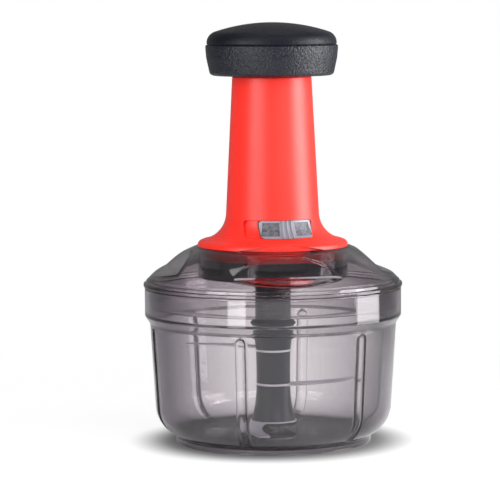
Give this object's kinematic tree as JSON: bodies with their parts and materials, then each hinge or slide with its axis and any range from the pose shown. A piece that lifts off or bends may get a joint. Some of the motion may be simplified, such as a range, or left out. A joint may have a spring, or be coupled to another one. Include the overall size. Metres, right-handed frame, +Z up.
{
  "type": "plunger food chopper",
  "caption": "Hand food chopper: pressing the wide knob turns a twisted rod in the red tower, which spins stacked sickle blades in a clear fluted bowl under a smoky lid.",
  "frame": {"origin": "centre of the foot ring's underside, on the tower's axis", "axes": "+Z up along the plunger; -Y is the front, where the lock slider is; +X is the viewer's right"},
  "size_m": [0.1578, 0.1578, 0.2553],
  "materials": {
    "clear_bowl": "clear, slightly smoky moulded plastic, glossy",
    "smoky_lid": "clear smoky moulded plastic, glossy",
    "red_shell": "satin red-orange moulded plastic",
    "dark_plastic": "dark slate moulded plastic, satin",
    "knob_cap_plastic": "charcoal plastic, soft satin",
    "knob_body_plastic": "navy-black plastic, finely textured, matt",
    "grey_plastic": "grey moulded plastic with a metallic look",
    "white_plastic": "natural slippery plastic",
    "steel": "plain bright steel",
    "blade_steel": "thin polished stainless steel with a ground edge"
  },
  "bodies": {
    "bowl": {"bowl": "clear_bowl", "bowl_pin": "steel"},
    "lid": {"lid": "smoky_lid", "tower": "red_shell", "base_cover": "dark_plastic", "base_screws": "steel", "rod_bush": "white_plastic", "return_spring": "steel"},
    "plunger": {"knob_cap": "knob_cap_plastic", "knob_body": "knob_body_plastic", "knob_screws": "steel", "plunger_tube": "red_shell", "drive_nut": "white_plastic", "nut_ring": "steel"},
    "rod": {"drive_rod": "steel", "clutch_driver": "dark_plastic", "rod_clip": "steel"},
    "socket": {"drive_socket": "dark_plastic"},
    "lock": {"lock_slider": "grey_plastic", "lock_catch": "grey_plastic"},
    "blades": {"blade_sleeve": "steel", "column_shoulder": "dark_plastic", "column_upper": "dark_plastic", "column_lower": "dark_plastic", "column_foot": "dark_plastic", "blade_upper": "blade_steel", "blade_middle": "blade_steel", "blade_lower": "blade_steel"}
  },
  "joints": [
    {"name": "lid_lift", "type": "slide", "parent": "bowl", "child": "lid", "axis": [0, 0, 1], "range_m": [0, 0.07]},
    {"name": "plunger_slide", "type": "slide", "parent": "lid", "child": "plunger", "axis": [0, 0, 1], "range_m": [0, 0.06], "deforming": ["return_spring"]},
    {"name": "rod_spin", "type": "hinge", "parent": "lid", "child": "rod", "pos_m": [0, 0, 0.114], "axis": [0, 0, 1], "range_deg": [0, 360]},
    {"name": "socket_spin", "type": "hinge", "parent": "lid", "child": "socket", "pos_m": [0, 0, 0.102], "axis": [0, 0, 1], "range_deg": [0, 360]},
    {"name": "lock_turn", "type": "hinge", "parent": "lid", "child": "lock", "pos_m": [0, 0, 0.133], "axis": [0, 0, -1], "range_deg": [0, 17.4]},
    {"name": "blade_spin", "type": "hinge", "parent": "bowl", "child": "blades", "pos_m": [0, 0, 0.035], "axis": [0, 0, 1], "range_deg": [0, 360]}
  ],
  "couplings": [
    {"joint": "rod_spin", "follows": "plunger_slide", "rad_per_m": 104.72},
    {"joint": "socket_spin", "follows": "plunger_slide", "rad_per_m": 104.72},
    {"joint": "blade_spin", "follows": "plunger_slide", "rad_per_m": 104.72}
  ]
}
